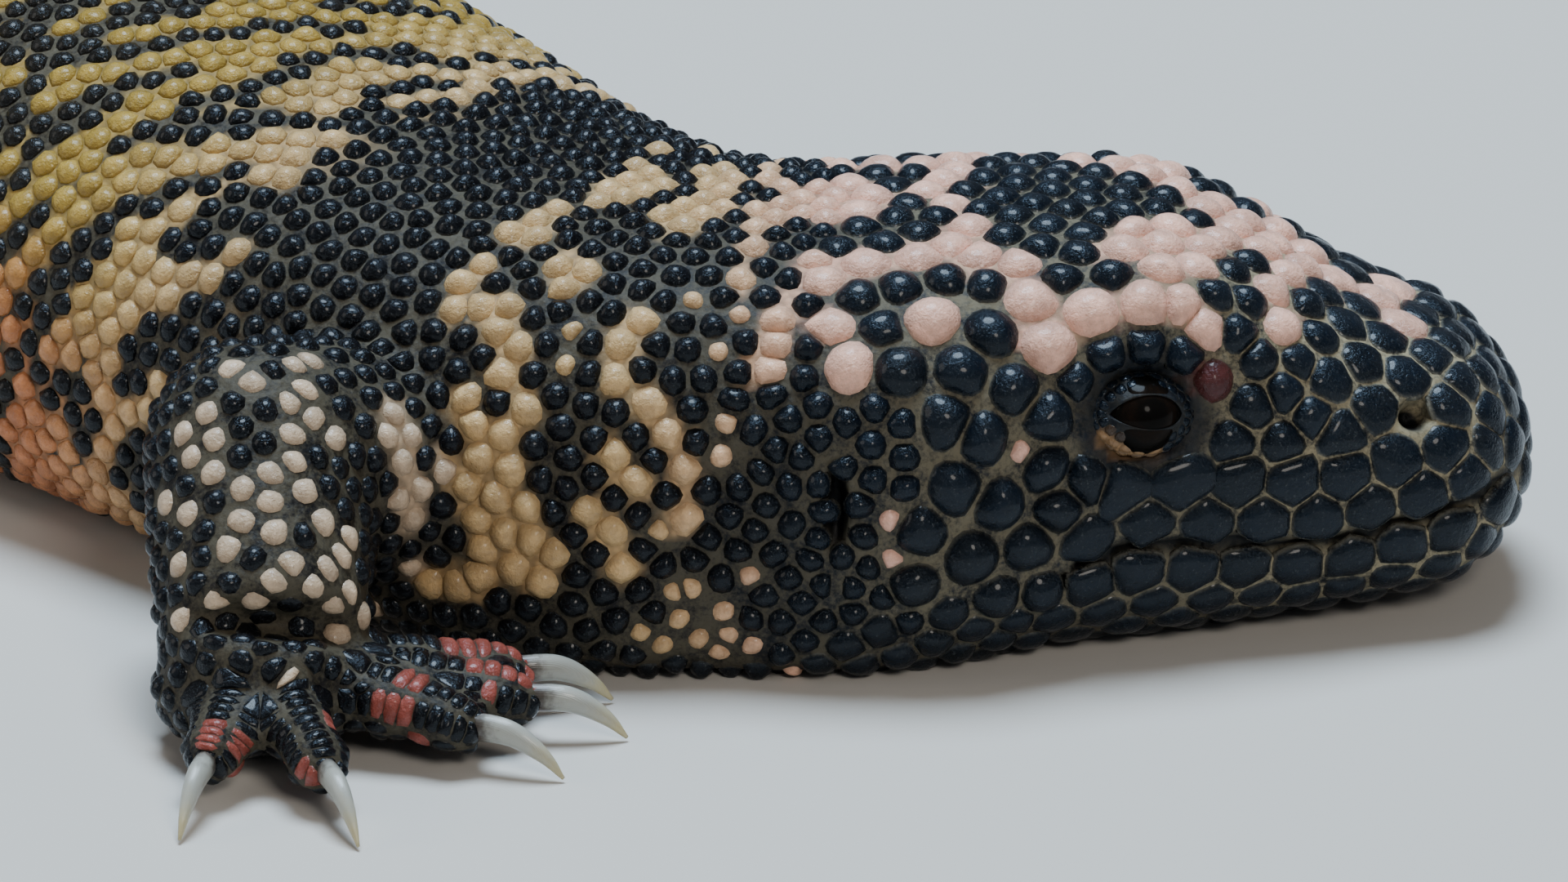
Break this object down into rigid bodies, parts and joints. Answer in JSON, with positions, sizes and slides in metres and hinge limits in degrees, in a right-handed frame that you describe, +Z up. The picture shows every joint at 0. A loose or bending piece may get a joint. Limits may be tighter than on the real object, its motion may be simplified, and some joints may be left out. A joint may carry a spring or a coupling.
{
  "type": "gila monster model",
  "caption": "Life-size still model of a Gila monster resting on the ground, head along +X, body curving away behind it, beaded black and pale skin, curved claws.",
  "frame": {"origin": "middle of the model's box, on the ground it rests on", "axes": "+Z up, the head points along +X, the animal's right side faces -Y"},
  "size_m": [0.3804, 0.287, 0.045],
  "materials": {
    "skin": "glossy beaded reptile skin, black with pale pink and tan bands",
    "eye": "wet and glossy",
    "claw": "smooth horn"
  },
  "bodies": {
    "root": {"head": "skin", "lower_jaw": "skin", "eye_right": "eye", "eye_left": "eye", "neck": "skin", "torso": "skin", "tail_base": "skin", "tail_end": "skin", "right_upper_arm": "skin", "right_forearm": "skin", "right_hand": "skin", "right_hand_claw_1": "claw", "right_hand_claw_2": "claw", "right_hand_claw_3": "claw", "right_hand_claw_4": "claw", "right_hand_claw_5": "claw", "left_upper_arm": "skin", "left_forearm": "skin", "left_hand": "skin", "left_hand_claw_1": "claw", "left_hand_claw_2": "claw", "left_hand_claw_3": "claw", "left_hand_claw_4": "claw", "left_hand_claw_5": "claw", "right_thigh": "skin", "right_shin": "skin", "right_foot": "skin", "right_foot_claw_1": "claw", "right_foot_claw_2": "claw", "right_foot_claw_3": "claw", "right_foot_claw_4": "claw", "right_foot_claw_5": "claw", "left_thigh": "skin", "left_shin": "skin", "left_foot": "skin", "left_foot_claw_1": "claw", "left_foot_claw_2": "claw", "left_foot_claw_3": "claw", "left_foot_claw_4": "claw", "left_foot_claw_5": "claw"}
  },
  "joints": []
}
